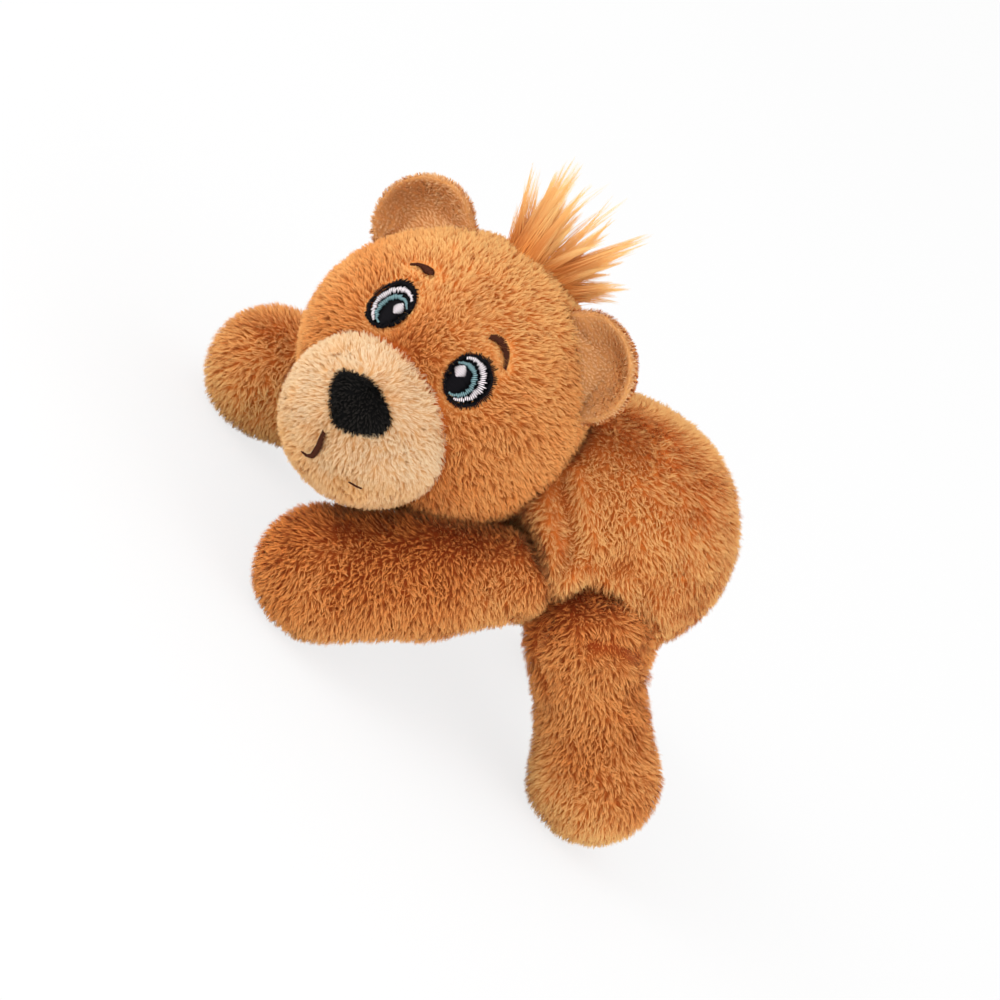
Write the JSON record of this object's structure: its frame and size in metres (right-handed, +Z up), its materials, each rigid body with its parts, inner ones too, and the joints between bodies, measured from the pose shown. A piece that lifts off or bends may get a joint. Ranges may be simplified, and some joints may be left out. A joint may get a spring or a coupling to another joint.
{
  "type": "plush teddy bear",
  "caption": "Small plush teddy bear on its belly, head turned aside, with stuffed limbs that swing open and magnet palms that grip a rail.",
  "frame": {"origin": "centre of the bounding box's base, on the surface that the four paws stand on", "axes": "+Z up, the belly faces -Z and the body points along -Y with its tail end at +Y; the bear's own left side is +X"},
  "size_m": [0.082, 0.1062, 0.0844],
  "materials": {
    "orange_brown_plush": "short knitted pile, 2 to 3 mm, slightly matted",
    "cream_plush": "short knitted pile, 2 mm",
    "tan_velour": "very short smooth pile",
    "golden_long_pile": "long loose hair",
    "black_plush": "dense very short pile",
    "white_fibre": "loose polyester stuffing",
    "pouch_cloth": "plain woven cloth",
    "nickel": "nickel plated disc",
    "black_thread": "satin stitch embroidery, slight sheen",
    "white_thread": "satin stitch embroidery, slight sheen",
    "teal_thread": "satin stitch embroidery, slight sheen",
    "brown_thread": "satin stitch embroidery, slight sheen"
  },
  "bodies": {
    "torso": {"body_skin": "orange_brown_plush", "body_stuffing": "white_fibre"},
    "head": {"head_skin": "orange_brown_plush", "head_stuffing": "white_fibre", "muzzle_skin": "cream_plush", "muzzle_stuffing": "white_fibre", "nose": "black_plush", "mouth": "brown_thread", "tuft": "golden_long_pile", "brow_left": "brown_thread", "ear_left_front": "tan_velour", "ear_left_back": "orange_brown_plush", "eye_left_black": "black_thread", "eye_left_white": "white_thread", "eye_left_iris": "teal_thread", "eye_left_glint": "white_thread", "brow_right": "brown_thread", "ear_right_front": "tan_velour", "ear_right_back": "orange_brown_plush", "eye_right_black": "black_thread", "eye_right_white": "white_thread", "eye_right_iris": "teal_thread", "eye_right_glint": "white_thread"},
    "arm_left": {"arm_left_skin": "orange_brown_plush", "arm_left_stuffing": "white_fibre", "arm_left_pouch": "pouch_cloth", "arm_left_magnet": "nickel"},
    "arm_right": {"arm_right_skin": "orange_brown_plush", "arm_right_stuffing": "white_fibre", "arm_right_pouch": "pouch_cloth", "arm_right_magnet": "nickel"},
    "leg_left": {"leg_left_skin": "orange_brown_plush", "leg_left_stuffing": "white_fibre", "leg_left_pouch": "pouch_cloth", "leg_left_magnet": "nickel"},
    "leg_right": {"leg_right_skin": "orange_brown_plush", "leg_right_stuffing": "white_fibre", "leg_right_pouch": "pouch_cloth", "leg_right_magnet": "nickel"}
  },
  "joints": [
    {"name": "arm_left_spread", "type": "hinge", "parent": "torso", "child": "arm_left", "pos_m": [0.02346, 0.00411, 0.0298], "axis": [0, -1, 0], "range_deg": [-15, 40], "stiffness_Nm_per_rad": 0.06},
    {"name": "arm_right_spread", "type": "hinge", "parent": "torso", "child": "arm_right", "pos_m": [-0.01894, 0.00221, 0.03], "axis": [0, 1, 0], "range_deg": [-15, 40], "stiffness_Nm_per_rad": 0.06},
    {"name": "leg_left_spread", "type": "hinge", "parent": "torso", "child": "leg_left", "pos_m": [0.02396, 0.02431, 0.0293], "axis": [0, -1, 0], "range_deg": [-15, 40], "stiffness_Nm_per_rad": 0.06},
    {"name": "leg_right_spread", "type": "hinge", "parent": "torso", "child": "leg_right", "pos_m": [-0.01804, 0.02431, 0.0293], "axis": [0, 1, 0], "range_deg": [-15, 40], "stiffness_Nm_per_rad": 0.06},
    {"name": "head_turn", "type": "hinge", "parent": "torso", "child": "head", "pos_m": [0.00346, -0.02599, 0.0472], "axis": [-0.1036, -0.0911, 0.9904], "range_deg": [-30, 8], "stiffness_Nm_per_rad": 0.04}
  ]
}
